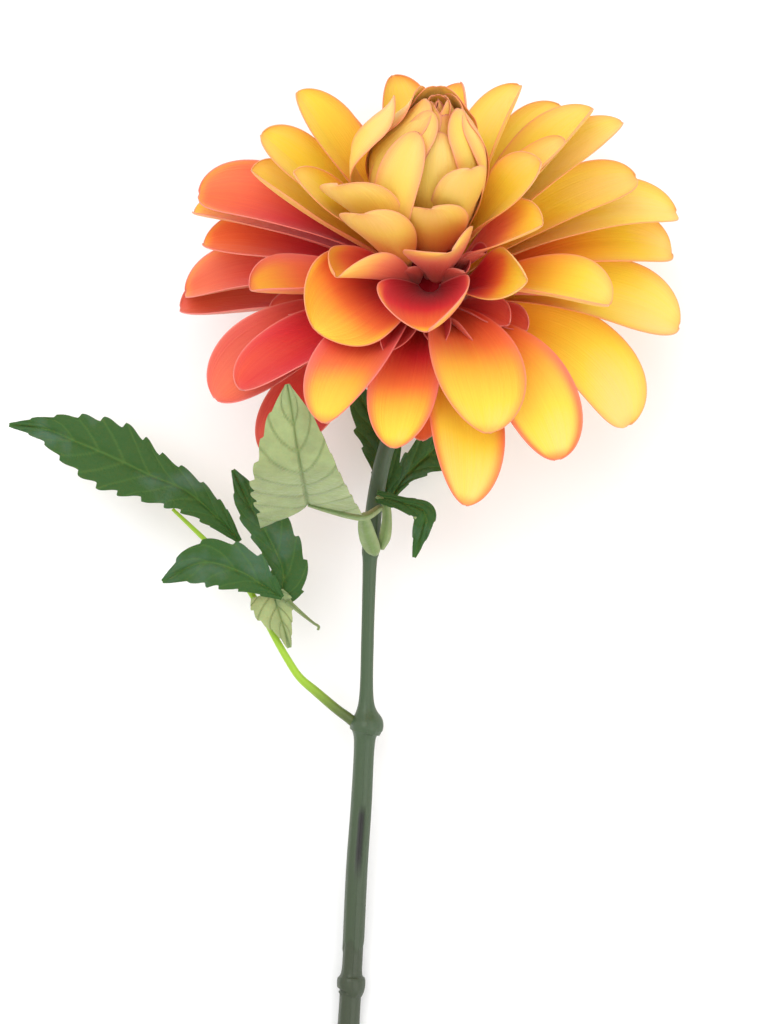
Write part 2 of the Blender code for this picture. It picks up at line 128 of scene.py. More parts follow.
# Small folded florets between the rings, in the same terms: they fill the hollows round the receptacle.
FLORETS = [
    (3, 3, 11, 66, 22, 28, 13, 74, 0.0, 10, 0, 0.10, 0.22, 0.85, 0.2),
    (22, 2, 11, 66, 20, 28, 13, 74, 0.0, -20, 0, 0.10, 0.22, 0.85, 0.2),
    (40, 4, 11, 62, 24, 28, 14, 70, 0.0, 20, 0, 0.12, 0.30, 0.8, 0.2),
    (52, 1, 11, 70, 20, 28, 14, 70, 0.0, 10, 0, 0.12, 0.34, 0.8, 0.2),
    (78, 3, 11, 66, 26, 40, 17, 66, 0.0, 10, 0, 0.20, 0.60, 0.4, 0.2),
    (97, 0, 11, 72, 30, 42, 17, 66, 0.0, 0, 0, 0.25, 0.80, 0.1, 0.2),
    (132, 3, 11, 72, 10, 46, 19, 60, 0.0, 0, 0, 0.30, 0.85, 0.1, 0.2),
    (150, 5, 11, 60, 10, 50, 20, 55, 0.0, 0, 0, 0.35, 0.90, 0.1, 0.2),
    (172, 3, 11, 72, 4, 52, 20, 55, 0.0, 0, 0, 0.30, 0.85, 0.1, 0.2),
    (188, 7, 11, 54, 8, 50, 20, 55, 0.0, 0, 0, 0.40, 0.90, 0.1, 0.2),
    (205, 3, 11, 74, 0, 52, 20, 55, 0.0, 0, 0, 0.20, 0.70, 0.2, 0.2),
    (225, 6, 11, 62, 6, 50, 20, 55, 0.0, 0, 0, 0.20, 0.60, 0.3, 0.2),
    (243, 2, 11, 80, 4, 46, 18, 60, 0.0, 0, 0, 0.12, 0.40, 0.4, 0.2),
    (284, 1, 11, 80, 20, 42, 17, 66, 0.0, -8, 0, 0.10, 0.30, 0.6, 0.2),
    (322, 2, 11, 70, 24, 38, 16, 70, 0.0, 14, 0, 0.08, 0.24, 0.8, 0.2),
    (341, 3, 11, 66, 22, 36, 15, 74, 0.0, -16, 0, 0.08, 0.22, 0.85, 0.2),
    (352, 15, 9, 30, 8, 17, 12, 80, 0.0, 0, 0, 0.0, 0.12, 0.1, 0.2),
    (330, 13, 10, 40, 8, 16, 12, 80, 0.0, 0, 0, 0.0, 0.12, 0.1, 0.2),
    (28, 13, 10, 40, 8, 17, 13, 80, 0.0, 0, 0, 0.0, 0.16, 0.2, 0.2),
    (50, 15, 10, 36, 8, 18, 13, 80, 0.0, 0, 0, 0.02, 0.25, 0.3, 0.2),
    (305, 16, 10, 38, 8, 18, 13, 80, 0.0, 0, 0, 0.02, 0.3, 0.2, 0.2),
]

# The closed petals of the bud, on an egg round the bloom's axis:
# around, twist: the way each faces at its foot, and how much further round its tip is
# low, high: heights of its foot and tip along the axis
# wide: its size across; layer, swell: how far it stands off the egg, and its extra belly, as a share
# flare: how far its tip stands off; claw, tip: its warmth
BUD_PETALS = [
    # around, twist, low, high, wide, layer, swell, flare, claw, tip
    (266, 8, 22, 78, 16, 2.0, 0.80, 8.0, 0.62, 0.93),
    (279, 54, 24, 76, 14, 0.8, 0.44, 0.0, 0.70, 0.93),
    (318, 7, 27, 71, 15.5, 6.6, 0.12, -2.5, 0.74, 0.93),
    (354, 4, 28, 70, 18, 0.8, 0.04, -1.0, 0.72, 0.91),
    (28, -4, 26, 68, 18, -0.4, 0.04, 0.0, 0.72, 0.94),
    (60, -6, 26, 76, 15, 1.0, 0.06, 0.8, 0.72, 0.88),
    (92, 0, 23, 74, 19, 1.0, 0.10, 0.8, 0.68, 0.92),
    (128, 0, 23, 76, 20, 0.6, 0.14, 1.0, 0.66, 0.92),
    (166, 0, 23, 78, 20, 1.2, 0.18, 1.2, 0.66, 0.92),
    (204, 0, 23, 78, 20, 0.8, 0.26, 1.6, 0.66, 0.92),
    (240, 4, 23, 79, 19, 0.8, 0.50, 3.0, 0.66, 0.93),
    (262, 40, 24, 78, 15, 0.4, 0.50, 0.0, 0.70, 0.92),
    (24, 0, 30, 74, 17, -1.2, 0.0, 0.0, 0.58, 0.66),
    (346, 0, 30, 74, 16, -1.8, 0.0, 0.0, 0.56, 0.64),
    (10, 30, 34, 77, 14, -3.2, 0.0, -1.0, 0.50, 0.62),
    (130, 30, 34, 77, 14, -3.2, 0.0, -1.0, 0.50, 0.66),
    (250, 30, 34, 77, 14, -3.2, 0.0, -1.0, 0.50, 0.66),
    (70, 0, 30, 77, 16, -1.8, 0.0, 0.4, 0.55, 0.78),
    (120, 0, 30, 77, 18, -1.6, 0.0, 0.4, 0.55, 0.80),
    (180, 0, 30, 77, 18, -1.8, 0.0, 0.4, 0.55, 0.80),
    (230, 0, 30, 77, 17, -1.6, 0.0, 0.4, 0.55, 0.82),
    (300, 10, 30, 77, 15, -1.6, 0.2, 0.0, 0.60, 0.84),
]

# A bud petal's own blush and margin, in the terms of the rings.
BUD_PINK = (0.0, 0.42)

# The egg that the bud petals lie on, as (height along the bloom's axis, radius).
BUD_EGG = [
    (18, 5.6), (26, 8.0), (34, 10.4), (42, 12.4), (50, 13.4), (58, 12.8), (65, 10.4), (71, 7.0), (80, 2.6),
]

# The receptacle on the bloom's axis, as (height along it, radius).
RECEPTACLE = [
    (-8, 0.0), (-8, 4.6), (-7.6, 7.2), (-6.6, 9.0), (-4, 10.7), (0, 11.3), (2, 11.4), (5, 11.0),
    (7, 10.4), (8.6, 8.6), (9.8, 7.7), (19, 7.6), (23, 6.6), (24.7, 5.6), (25, 4.8), (25, 0.0),
]

# The stem: points along its middle from the receptacle to the cut end, with its radius at each.
STEM_PATH = [
    (14.5, 61.4, 41.6, 3.0), (14.4, 58.4, 39.1, 2.9), (13.2, 52, 35, 2.8), (9, 40, 30, 2.8),
    (3.6, 28, 27.6, 2.7), (0, 18, 26, 2.7), (-3, 3, 23, 2.7), (-4.3, -12, 21.2, 2.9),
    (-4.7, -18, 20.6, 2.3), (-5.4, -42, 18, 2.1), (-5.8, -62, 16, 2.5), (-5.6, -69, 15.4, 5.4),
    (-6.0, -72, 15.1, 5.2), (-6.4, -76, 14.7, 3.5), (-7.5, -97, 12.2, 3.5), (-9, -119, 9.7, 3.6),
    (-10.2, -145, 7, 3.6), (-10.7, -153, 6.2, 3.8), (-10.8, -155, 6.1, 4.9), (-10.9, -158, 6, 4.9),
    (-11.1, -160, 5.8, 3.9), (-12, -176, 4.9, 4.0), (-12.6, -195, 4.3, 4.1), (-13, -214, 4.1, 4.1),
]

# Stretches of the stem, as y: where its slit opens and closes, and where its colour turns browner.
SLIT_CLOSES, SLIT_OPENS = (-124, -112), (-101, -95)
BROWNER = (-150, -40)

# The middle of the sleeve's ragged lower edge, as y, and half the step down from it.
SLEEVE_EDGE, SLEEVE_STEP = -143.5, 0.6

# The receptacle is red above this stretch of its height, where it is inside the bloom.
RED_FROM = (7, 9)

# The stalk of the left leaf, from the stem's joint to the last leaflet, and the x where it starts and ends
# darkening towards the stem.
STALK_DARKENS = (-30, -12)
STALK_PATH = [
    (-9.8, -69.2, 15.4, 1.9), (-12, -67.5, 15.6, 1.8), (-16, -64.5, 16.2, 1.7), (-22.4, -59, 17, 1.6),
    (-27.6, -54.4, 18, 1.4), (-31.5, -48.6, 19, 1.3), (-35.8, -41, 20, 1.2), (-40, -32.8, 20.6, 1.2),
    (-44.6, -24.9, 21, 1.1), (-50.4, -17.4, 21.4, 1.0), (-57.6, -10.1, 21.7, 0.9), (-69.3, 1, 22, 0.6),
]

# Small ribs and clasps: the node each belongs to, and points along it with the radius at each.
RIBS = {
    "pale_leaf_rib": ("leaf_pale", [
        (-24.3, 2.3, 50.6, 0.5), (-18, 0.5, 49.6, 0.7), (-11, -1.2, 45.6, 0.9), (-5.8, -1.3, 39.5, 1.2),
        (-1.3, 1.4, 31, 1.0)]),
    "pale_leaf_clasp": ("leaf_pale", [
        (-6.2, -0.6, 40, 0.8), (-6.2, -3.5, 35, 1.9), (-5.0, -8.5, 28.5, 2.5), (-3.4, -12.2, 25, 2.1),
        (-2.8, -14.0, 23.4, 0.8)]),
    "small_leaf_petiole": ("leaf_small", [
        (-1.0, -12, 23.6, 0.9), (0.2, -8, 25.5, 1.7), (0.9, -2, 28.5, 1.4), (0.2, 3, 31, 1.2),
        (-2.3, 5.2, 31.4, 0.7)]),
    "low_leaflet_tendril": ("leaflet_low", [
        (-31.5, -29, 26.4, 0.8), (-27.5, -32.6, 26.2, 0.6), (-23.4, -36, 25.4, 0.4),
        (-21.4, -37.4, 25, 0.4), (-21.6, -38.6, 24.8, 0.35)]),
}

# Leaf blades: the node that each stands for, the direction that its visible side faces, how far its sides
# fold up, how deep its teeth are on the left and on the right, how far its base lobes hang back on the left
# and on the right, which side shows, and points along the midrib with the width to its left and right.
LEAVES = [
    ("leaflet_end", (0.1, 0.1, 1.0), 8, (0.16, 0.16), (0, 0), "top", [
        (-47.2, -9.6, 25, 0.8, 0.8), (-55.2, -1, 26, 4.5, 4.5), (-64.9, 7.2, 28, 8, 6),
        (-76.2, 12.1, 29, 9.5, 8.5), (-87.7, 17.6, 29, 12, 12), (-100.9, 23.2, 27, 8.5, 9.5),
        (-110.9, 27.2, 24, 4.5, 4.5), (-123, 28.6, 20, 0.5, 0.5),
    ]),
    ("leaflet_side", (0.2, -0.2, 1.0), 8, (0.14, 0.14), (0, 0), "top", [
        (-34.6, -30.8, 24.2, 0.8, 1.2), (-33.6, -26, 25.6, 2.6, 6.6), (-33, -18.9, 28, 4, 8.4),
        (-37.1, -9.1, 31, 5, 9), (-43.5, 2.3, 33, 5, 7), (-49.1, 13.7, 32, 0.5, 0.5),
    ]),
    ("leaflet_front", (0.0, -0.1, 1.0), 10, (0.16, 0.16), (0, 0), "top", [
        (-33.2, -27.8, 29.5, 0.8, 0.8), (-39.8, -23.5, 33, 4, 6), (-46.8, -19.2, 35, 7, 9),
        (-58.8, -16.3, 36, 8, 7.5), (-71.9, -22.5, 34, 0.5, 0.5),
    ]),
    ("leaflet_low", (0.1, -0.2, 1.0), 6, (0.1, 0.1), (0, 0), "underside", [
        (-36.4, -26.0, 26, 3.5, 7.5), (-35.2, -30.0, 25.6, 5.6, 8.6), (-33.8, -34.5, 25.2, 4.2, 6.6),
        (-32.4, -39, 24.2, 2.4, 3.2), (-31, -44.4, 23, 0.6, 0.6),
    ]),
    ("leaf_pale", (0.0, -0.75, 0.65), 6, (0.09, 0.03), (15, 5), "underside", [
        (-24.3, 2.3, 50, 16.5, 17), (-25.5, 11.8, 76, 17, 12.5), (-27, 21, 86, 12.5, 9.5),
        (-28.3, 30.2, 90, 8, 6), (-29.8, 39.4, 92, 0.6, 0.6),
    ]),
    ("leaf_small", (0.1, -0.1, 1.0), 6, (0.1, 0.1), (0, 0), "top", [
        (-2.3, 5.2, 31, 2, 2), (6.8, 2.9, 35, 2, 3), (13, 0, 36, 3.6, 4),
        (12.4, -6, 34, 2.6, 3.4), (9.8, -14.7, 30, 0.5, 0.5),
    ]),
    ("leaf_back_left", (0.0, -0.1, 1.0), 6, (0.14, 0.14), (0, 0), "top", [
        (0.6, 6.4, 17.5, 1.2, 1.2), (0.4, 12.5, 19, 4.2, 5.3), (-1.3, 20.4, 19, 5.6, 7.2),
        (-3, 28.6, 19, 7.3, 5.7), (-7.2, 36.8, 19, 4.5, 4), (-11, 45, 19, 0.5, 0.5),
    ]),
    ("leaf_back_right", (0.0, -0.1, 1.0), 6, (0.14, 0.14), (0, 0), "top", [
        (2.6, 5, 14.5, 1, 1), (6.9, 11.5, 14.8, 4, 2.8), (11.8, 16.5, 15, 6, 5.5),
        (17.1, 21.5, 15, 6.4, 8.5), (22, 28, 15, 5, 6), (28, 38, 15, 0.5, 0.5),
    ]),
]

# How finely the surfaces are divided. A leaf has its rows for each stretch between two of its points. The
# nearer a sheet's spread is to 1, the more of its columns are at its edges.
PETAL_ROWS, PETAL_COLUMNS, PETAL_SPREAD = 52, 31, 0.92
MIDRIB_STEPS, ARC_STEPS = 90, 161
LEAF_ROWS, LEAF_COLUMNS, LEAF_SPREAD = 40, 45, 0.9
STEM_STEPS, STEM_SIDES = 620, 48
STALK_STEPS, STALK_SIDES = 220, 28
RIB_STEPS, RIB_SIDES = 90, 24
CALYX_STEPS, CALYX_SIDES = 90, 72

# Along a leaf, a tooth comes about once in this many metres.
TOOTH_PITCH = 0.0075

# Along the stem and the stalk, the UV map counts this many for each metre, so that streaks keep their size.
STREAK_RUN = 10

# How far light wanders under a surface, in metres for red, and how the three colours compare.
SCATTER_DEPTH = 0.003
SCATTER_COLOURS = (1.0, 0.6, 0.35)

# The soft boxes: name, place, side in metres, power in watts.
SOFT_BOXES = [
    ("soft_top", (-0.5, 0.7, 1.6), 1.6, 14.5),
    ("soft_side", (0.9, -0.5, 1.2), 1.2, 6.0),
]


# ---------------------------------------------------------------- settings


def length_property(name, description, default):
    """A size in metres that the panel can show."""
    return bpy.props.FloatProperty(name=name, description=description, default=default,
                                   min=0.0, subtype="DISTANCE", unit="LENGTH", precision=5)


def colour_property(name, description, default):
    """A linear colour that the panel can show."""
    return bpy.props.FloatVectorProperty(name=name, description=description, default=default,
                                         size=3, min=0.0, max=1.0, subtype="COLOR")


class BloomSettings(bpy.types.PropertyGroup):
    """Sizes and colours of the petals."""

    base: bpy.props.FloatVectorProperty(
        name="Base", description="Where the petals start on the bloom's axis",
        default=(0.0285, 0.1056, 0.047), size=3, subtype="TRANSLATION", unit="LENGTH")
    rise: bpy.props.FloatProperty(
        name="Rise", description="Angle of the bloom's axis above the table",
        default=math.radians(40), subtype="ANGLE", unit="ROTATION")
    lean: bpy.props.FloatProperty(
        name="Lean", description="Turn of the bloom's axis towards +X",
        default=math.radians(1.5), subtype="ANGLE", unit="ROTATION")
    cloth: length_property("Cloth", "Thickness of the petal cloth", 0.00032)
    ripple: length_property("Ripple", "Height of the ripples along the petal edges", 0.0005)
    hem: length_property("Hem", "Width of the pink line along the petal edges", 0.0007)
    dark_red: colour_property("Dark red", "Deepest colour, in the hollows", (0.42, 0.002, 0.012))
    red: colour_property("Red", "Lower part of the red petals", (0.64, 0.012, 0.024))
    orange: colour_property("Orange", "Between red and yellow", (0.86, 0.17, 0.03))
    amber: colour_property("Amber", "Between orange and yellow", (0.90, 0.44, 0.03))
    yellow: colour_property("Yellow", "Tips of the yellow petals", (0.88, 0.62, 0.045))
    pale_yellow: colour_property("Pale yellow", "Lightest tips", (0.94, 0.60, 0.16))
    rose: colour_property("Rose", "Pink of the left petals near the claw", (0.66, 0.04, 0.06))
    salmon: colour_property("Salmon", "Pink of the left petals near the tip", (0.82, 0.17, 0.12))
    hem_pink: colour_property("Hem pink", "Line along the petal edges", (0.80, 0.20, 0.17))


class GreenSettings(bpy.types.PropertyGroup):
    """Sizes and colours of the stem and the leaves."""

    offset: bpy.props.FloatVectorProperty(
        name="Offset", description="Where the flower is laid down",
        default=(0.0138, 0.0378, 0.0), size=3, subtype="TRANSLATION", unit="LENGTH")
    blade: length_property("Blade", "Thickness of the leaves", 0.0004)
    relief: length_property("Relief", "Height of the leaf between its veins", 0.0005)
    leaf: colour_property("Leaf", "Upper side of the leaves", (0.026, 0.092, 0.016))
    # Painted sheen: a bluish colour laid in patches on the upper side of the leaves, for the light that they
    # reflect.
    painted_leaf_sheen: colour_property("Leaf sheen", "Bluish bloom on the leaves", (0.060, 0.135, 0.085))
    leaf_vein: colour_property("Leaf vein", "Veins of the upper side", (0.085, 0.20, 0.035))
    underside: colour_property("Underside", "Lower side of the leaves", (0.31, 0.40, 0.17))
    underside_vein: colour_property("Underside vein", "Ribs of the lower side", (0.13, 0.22, 0.05))
    stem_top: colour_property("Stem top", "Stem near the bloom", (0.042, 0.075, 0.032))
    stem_low: colour_property("Stem low", "Stem near the cut", (0.036, 0.044, 0.022))
    stalk: colour_property("Stalk", "Fresh green of the leaf stalk", (0.36, 0.60, 0.03))


class StageSettings(bpy.types.PropertyGroup):
    """The table, the lights and the camera."""

    table: length_property("Table", "Side of the table top", 6.0)
    height: length_property("Height", "Camera above the table", 1.2)
    lens: bpy.props.FloatProperty(name="Lens", description="Focal length in millimetres", default=126.34)
    sky: bpy.props.FloatProperty(
        name="Sky", description="Strength of the light from all round", default=0.97)


# ---------------------------------------------------------------- surfaces


def running_sum(values, places):
    """The integral of values over places, from the first place (trapezium rule)."""
    steps = (values[1:] + values[:-1]) / 2 * np.diff(places).reshape((-1,) + (1,) * (values.ndim - 1))
    return np.concatenate([np.zeros_like(values[:1]), np.cumsum(steps, axis=0)])


def smooth_step(low, high, x):
    """0 below low, 1 above high, and a smooth S between them."""
    x = np.clip((x - low) / (high - low), 0, 1)
    return x * x * (3 - 2 * x)


def unit(vectors):
    """Vectors of length 1."""
    return vectors / np.linalg.norm(vectors, axis=-1, keepdims=True)


def spread_across(columns, spread):
    """Places from -1 to 1 across a sheet, closer together towards the edges.

    An even x from -1 to 1 becomes sin(spread * x * 90 degrees) over sin(spread * 90 degrees).
    """
    quarter = np.pi / 2
    return np.sin(quarter * np.linspace(-1, 1, columns) * spread) / math.sin(quarter * spread)


def petal_grid():
    """Places along a petal, closer together towards the tip, and across it."""
    s = 0.999 * (1 - (1 - np.linspace(0, 1, PETAL_ROWS)) ** 1.6)
    return s, spread_across(PETAL_COLUMNS, PETAL_SPREAD)


def petal_outline(s):
    """Half width along a petal, as a share of the widest: a narrow claw, then a blunt oval."""
    widest = 0.66
    rise = 0.26 + 0.74 * np.sin(np.pi / 2 * np.clip(s / widest, 0, 1)) ** 1.15
    fall = (1 - np.clip((s - widest) / (1 - widest), 0, 1) ** 2.3) ** 0.52
    return np.where(s < widest, rise, fall)


def bloom_axes(bloom):
    """The bloom's axis, the direction of angle 0 and the direction of angle 90."""
    axis = np.array([math.sin(bloom.lean), math.cos(bloom.lean) * math.cos(bloom.rise),
                     math.cos(bloom.lean) * math.sin(bloom.rise)])
    face = np.array([0.0, -math.sin(bloom.rise), math.cos(bloom.rise)])
    face = unit(face - axis * (axis @ face))
    return axis, face, np.cross(axis, face)


def petal_surface(bloom, row, seed):
    """Points of a petal and how far each is from its edge.

    The midrib starts at the pitch angle from the axis and curls outwards as s to the power 1.4. Across it,
    the slope is the cup angle times (t + lean * t * t), so the sides rise in an arc. Soft ripples grow
    towards the edges, and shallow folds run from the claw.
    """
    around, rise, out, pitch, curl, long, wide, cup, lean, roll, sweep = row
    axis, face, right = bloom_axes(bloom)
    turn = math.radians(around)
    radial = math.cos(turn) * face + math.sin(turn) * right
    beside = np.cross(axis, radial)

    s, t = petal_grid()
    fine = np.linspace(0, 1, MIDRIB_STEPS)
    tilt = np.radians(pitch + curl * fine ** 1.4)[:, None]
    turned = (np.radians(sweep) * fine ** 1.3)[:, None]
    outward = np.cos(tilt) * axis + np.sin(tilt) * radial
    upward = np.sin(tilt) * axis - np.cos(tilt) * radial
    along = np.cos(turned) * outward + np.sin(turned) * beside
    across = -np.sin(turned) * outward + np.cos(turned) * beside
    claw = np.array(bloom.base) + (axis * rise + radial * out) * MM
    midrib = claw + running_sum(along * long * MM, fine)

    def at(line):
        """The line's values at the petal's own rows."""
        return np.stack([np.interp(s, fine, line[:, k]) for k in range(3)], axis=1)

    middle, side, up = at(midrib), unit(at(across)), unit(at(upward))
    twist = (np.radians(roll) * s)[:, None]
    side, up = np.cos(twist) * side + np.sin(twist) * up, np.cos(twist) * up - np.sin(twist) * side

    half = wide / 2 * MM * petal_outline(s)
    arc = np.linspace(-1, 1, ARC_STEPS)
    bend = np.radians(cup + (75 - cup) * (1 - s) ** 3)
    slope = arc[:, None] + lean * arc[:, None] ** 2
    reach = running_sum(np.cos(slope * bend), arc)
    lift = running_sum(np.sin(slope * bend), arc)
    reach, lift = reach - reach[ARC_STEPS // 2], lift - lift[ARC_STEPS // 2]
    x = np.stack([np.interp(t, arc, reach[:, i]) for i in range(len(s))])
    y = np.stack([np.interp(t, arc, lift[:, i]) for i in range(len(s))])

    ripple = np.sin(9 * s[:, None] + seed + 1.4 * t) * np.abs(t) ** 3 * smooth_step(0.25, 0.8, s)[:, None]
    fold = np.cos(t * 7.5 + seed * 0.7) * np.sin(np.pi * s[:, None]) * 0.35 * (1 - np.abs(t))
    crease = -0.5 * np.exp(-(t / 0.10) ** 2) * np.sin(np.pi * s[:, None]) ** 0.7
    wave = (ripple + fold + crease) * bloom.ripple
    points = (middle[:, None, :] + half[:, None, None] * x[..., None] * side[:, None, :]
              + (half[:, None] * y + wave)[..., None] * up[:, None, :])
    edge = np.minimum(half[:, None] * (1 - np.abs(t)), (1 - s[:, None]) * long * MM)
    return points, edge, s, t


def bud_petal_surface(bloom, row, seed):
    """Points of a closed petal: a patch of an egg, from its foot to its tip and round by its width.

    The egg's radius is widened by swell * sin(pi s), and the layer and flare * s to the power 4 are added.
    """
    around, twist, low, high, wide, layer, swell, flare = row
    axis, face, right = bloom_axes(bloom)
    s, t = petal_grid()
    height = low + (high - low) * s
    egg = smooth_path(BUD_EGG, 120)
    radius = np.interp(height, egg[:, 0], egg[:, 1])
    radius = radius * (1 + swell * np.sin(np.pi * s)) + layer + flare * s ** 4
    half = wide / 2 * petal_outline(s)
    lift = 0.10 * half[:, None] * np.abs(t) ** 3 + 0.25 * np.sin(8 * s[:, None] + seed) * np.abs(t) ** 3
    middle = np.radians(around + twist * s ** 1.5)[:, None]
    angle = middle + half[:, None] * t / np.maximum(radius, 4.0)[:, None]
    reach = (radius[:, None] + lift) * MM
    droop = 0.06 * half[:, None] * t ** 2 * MM
    points = (np.array(bloom.base) + (height[:, None] * MM - droop)[..., None] * axis
              + (reach * np.cos(angle))[..., None] * face + (reach * np.sin(angle))[..., None] * right)
    edge = np.minimum(half[:, None] * (1 - np.abs(t)), (1 - s[:, None]) * (high - low)) * MM
    return points, edge, s, t


def petal_colours(s, t, edge, claw, tip, blush, margin, seed):
    """Warmth from claw to tip, later on a red petal; blush and margin turn to pink, a minus to yellow."""
    drift = 0.03 * np.sin(5 * s[:, None] + 3 * t + seed)
    share = smooth_step(0.08, 1.0, s[:, None] + 0.10 * (1 - t ** 2) - 0.05)
    warmth = claw + (tip - claw) * share ** (1 + 2.6 * max(0.0, 0.55 - claw)) + drift
    rim = (1 - smooth_step(0.0, 0.0042, edge)) * smooth_step(0.30, 0.75, s)[:, None]
    warmth = warmth + max(0.0, -margin) * (0.92 - warmth) * rim
    pink = blush * (0.8 + 0.4 * t ** 2) * (1 - 0.7 * tip * smooth_step(0.4, 0.95, s[:, None]))
    pink = pink + max(0.0, margin) * (rim + 0.35 * t ** 4 * smooth_step(0.2, 0.6, s[:, None]))
    return np.clip(warmth, 0, 1), np.clip(np.broadcast_to(pink, warmth.shape), 0, 1)


def smooth_path(stations, count):
    """Catmull-Rom curve through the stations, read at count even places."""
    points = np.array(stations, dtype=float)
    padded = np.vstack([2 * points[0] - points[1], points, 2 * points[-1] - points[-2]])
    where = np.linspace(0, len(points) - 1, count)
    index = np.minimum(where.astype(int), len(points) - 2)
    f = (where - index)[:, None]
    a, b, c, d = (padded[index + k] for k in range(4))
    square, cube = 2 * a - 5 * b + 4 * c - d, 3 * b - a - 3 * c + d
    return 0.5 * (2 * b + (c - a) * f + square * f ** 2 + cube * f ** 3)


def laid_path(green, stations, count):
    """A smooth path, its points in metres where the flower is laid down, and the sizes left over in mm."""
    path = smooth_path(stations, count)
    return path, path[:, :3] * MM + np.array(green.offset), path[:, 3:]


def run_along(spine):
    """The length of a path up to each of its points."""
    return np.concatenate([[0], np.cumsum(np.linalg.norm(np.diff(spine, axis=0), axis=1))])


def path_frame(spine, facing):
    """Directions along a path, to its right and up from it, with up near the facing direction."""
    along = unit(np.gradient(spine, axis=0))
    right = unit(np.cross(along, np.broadcast_to(np.array(facing, dtype=float), along.shape)))
    return along, right, np.cross(right, along)


def leaf_surface(green, facing, fold, teeth, lobes, stations):
    """Points of a leaf blade: a midrib with a width to each side, toothed towards the tip.

    The teeth are a saw wave along s in the width. The blade domes up between the veins that leave
    the midrib at a slant, and the base lobes hang back along the midrib.
    """
    _, spine, widths = laid_path(green, stations, LEAF_ROWS * (len(stations) - 1))
    along, right, up = path_frame(spine, facing)
    t = spread_across(LEAF_COLUMNS, LEAF_SPREAD)
    run = run_along(spine)
    s = run / run[-1]
    count = max(5, round(run[-1] / TOOTH_PITCH))
    saw = (s * count) % 1.0
    notch = (1 - smooth_step(0.0, 0.85, saw) + smooth_step(0.93, 1.0, saw)) * ((s > 0.12) & (s < 0.97))
    tooth = 1 - np.where(t < 0, teeth[0], teeth[1]) * notch[:, None]
    wide = np.where(t < 0, np.maximum(widths[:, 0:1], 0.35), np.maximum(widths[:, 1:2], 0.35)) * MM
    edge_share = smooth_step(0.55, 1.0, np.abs(t))
    reach = np.abs(t) * wide * (1 - edge_share * (1 - tooth))
    veins = (s[:, None] * count * 0.8 - 1.5 * np.abs(t)) % 1.0
    dome = np.sin(np.pi * veins) ** 0.6 * smooth_step(0.02, 0.2, np.abs(t)) * (1 - 0.7 * np.abs(t) ** 2)
    rib = np.exp(-(np.abs(t) * wide / (0.5 * MM)) ** 2)
    angle = math.radians(fold)
    lift = reach * math.sin(angle) + green.relief * (dome - 0.9 * rib)
    hang = np.where(t < 0, lobes[0], lobes[1]) * MM * np.abs(t) ** 0.8 * (1 - s[:, None]) ** 3
    points = (spine[:, None, :] + (np.sign(t) * reach * math.cos(angle))[..., None] * right[:, None, :]
              + lift[..., None] * up[:, None, :] - hang[..., None] * along[:, None, :])
    line = np.abs(veins - np.round(veins)) / 0.5
    return points, s, t, 1 - smooth_step(0.0, 0.22, line), rib


def round_angles(sides):
    """Even angles round a tube."""
    return np.linspace(0, 2 * np.pi, sides, endpoint=False)


def tube_surface(spine, radii, angle):
    """Points of a tube: a circle square to the path at each point, starting at its upper side."""
    _, right, up = path_frame(spine, (0.0, 0.0, 1.0))
    ring = np.cos(angle)[None, :, None] * up[:, None, :] + np.sin(angle)[None, :, None] * right[:, None, :]
    return spine[:, None, :] + radii[..., None] * ring


# ---------------------------------------------------------------- meshes


def grid_faces(rows, columns, closed):
    """Four-cornered faces of a grid, joined round its columns if it is closed."""
    index = np.arange(rows * columns).reshape(rows, columns)
    after = np.roll(index, -1, axis=1) if closed else index[:, 1:]
    index = index if closed else index[:, :-1]
    return np.stack([index[:-1], after[:-1], after[1:], index[1:]], axis=-1).reshape(-1, 4)


def add_piece(name, points, faces, materials, nodes, attributes, uv):
    """A mesh object from arrays, riding on the flower and standing for its nodes."""
    mesh = bpy.data.meshes.new(name)
    corners = np.concatenate([np.asarray(part).reshape(-1) for part in faces]).astype(np.int32)
    sizes = np.concatenate([np.full(len(part), part.shape[1]) for part in faces]).astype(np.int32)
    mesh.vertices.add(len(points))
    mesh.vertices.foreach_set("co", points.astype(np.float32).ravel())
    mesh.loops.add(len(corners))
    mesh.loops.foreach_set("vertex_index", corners)
    mesh.polygons.add(len(sizes))
    mesh.polygons.foreach_set("loop_start", np.concatenate([[0], np.cumsum(sizes)[:-1]]).astype(np.int32))
    mesh.polygons.foreach_set("loop_total", sizes)
    mesh.update(calc_edges=True)
    mesh.validate()
    layer = mesh.uv_layers.new(name="UVMap")
    layer.data.foreach_set("uv", uv[corners].astype(np.float32).ravel())
    for key, values in attributes.items():
        stored = mesh.attributes.new(key, "FLOAT", "POINT")
        stored.data.foreach_set("value", np.asarray(values, dtype=np.float32).ravel())
    mesh.shade_smooth()
    for material in materials:
        mesh.materials.append(material)
    piece = bpy.data.objects.new(name, mesh)
    bpy.context.scene.collection.objects.link(piece)
    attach(piece, "root")
    if nodes:
        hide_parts(*nodes)
    return piece


def sheet_uv(s, t):
    """UV of a sheet: t across from 0 to 1, and s along."""
    u, v = np.broadcast_arrays((t[None, :] + 1) / 2, s[:, None])
    return np.stack([u, v], axis=-1).reshape(-1, 2)


def add_sheet(name, points, s, t, thickness, materials, nodes, attributes):
    """A thin closed piece from a grid of points: its two sides can have their own materials."""
    rows, columns = points.shape[:2]
    faces = [grid_faces(rows, columns, closed=False)]
    piece = add_piece(name, points.reshape(-1, 3), faces, materials, nodes, attributes,
                      sheet_uv(s, t))
    solid = piece.modifiers.new("thickness", "SOLIDIFY")
    solid.thickness = thickness
    solid.offset = 0.0
    solid.material_offset = len(materials) - 1
    return piece


